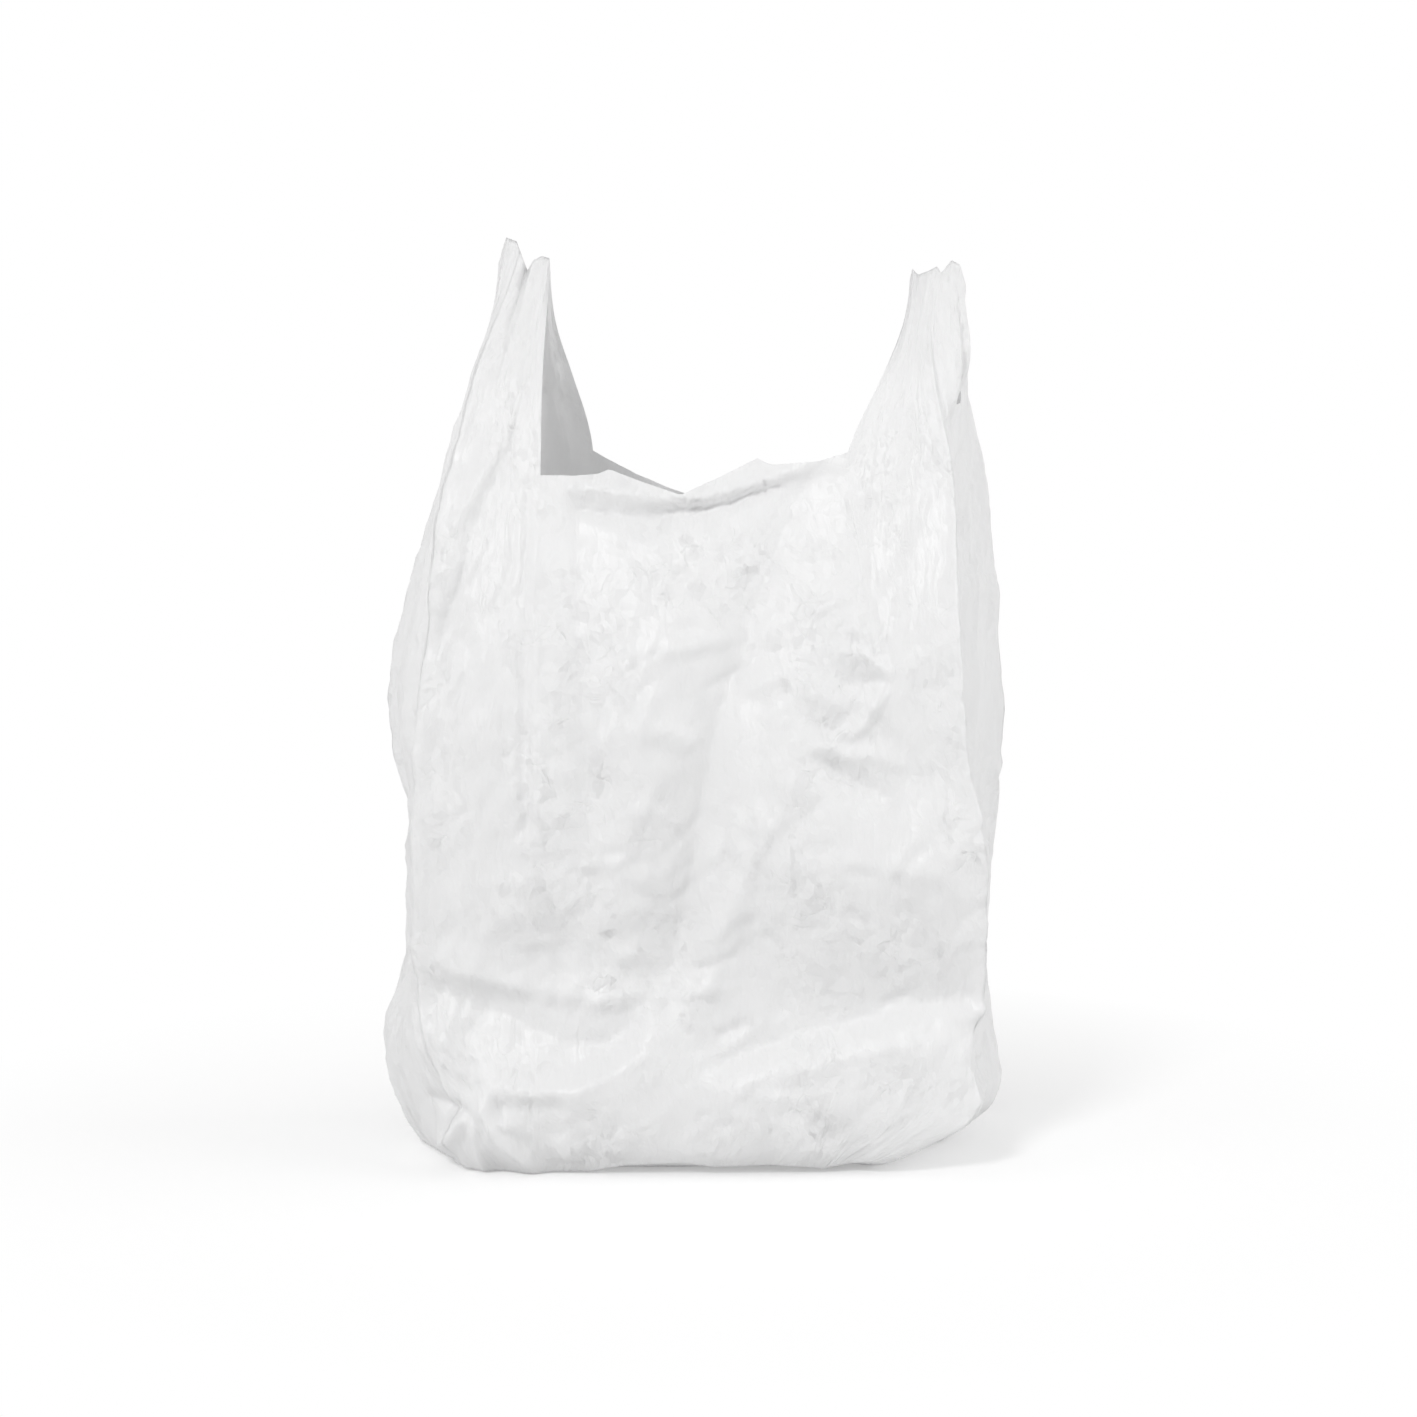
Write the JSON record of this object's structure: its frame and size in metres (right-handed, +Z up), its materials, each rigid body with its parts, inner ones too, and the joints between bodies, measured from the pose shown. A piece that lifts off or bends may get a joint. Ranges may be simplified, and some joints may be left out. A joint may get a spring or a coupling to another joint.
{
  "type": "vest-style plastic bag",
  "caption": "White film vest bag standing open, with gusseted sides, a gathered handle at each side and crumpled panels.",
  "frame": {"origin": "centre of the bounding box in plan, on the surface the bag stands on", "axes": "+Z up along the bag's length, +X to the right seen from the front, the front panel faces -Y"},
  "size_m": [0.311, 0.1857, 0.4472],
  "materials": {
    "white_film": "satin"
  },
  "bodies": {
    "root": {"bag_film": "white_film"}
  },
  "joints": []
}
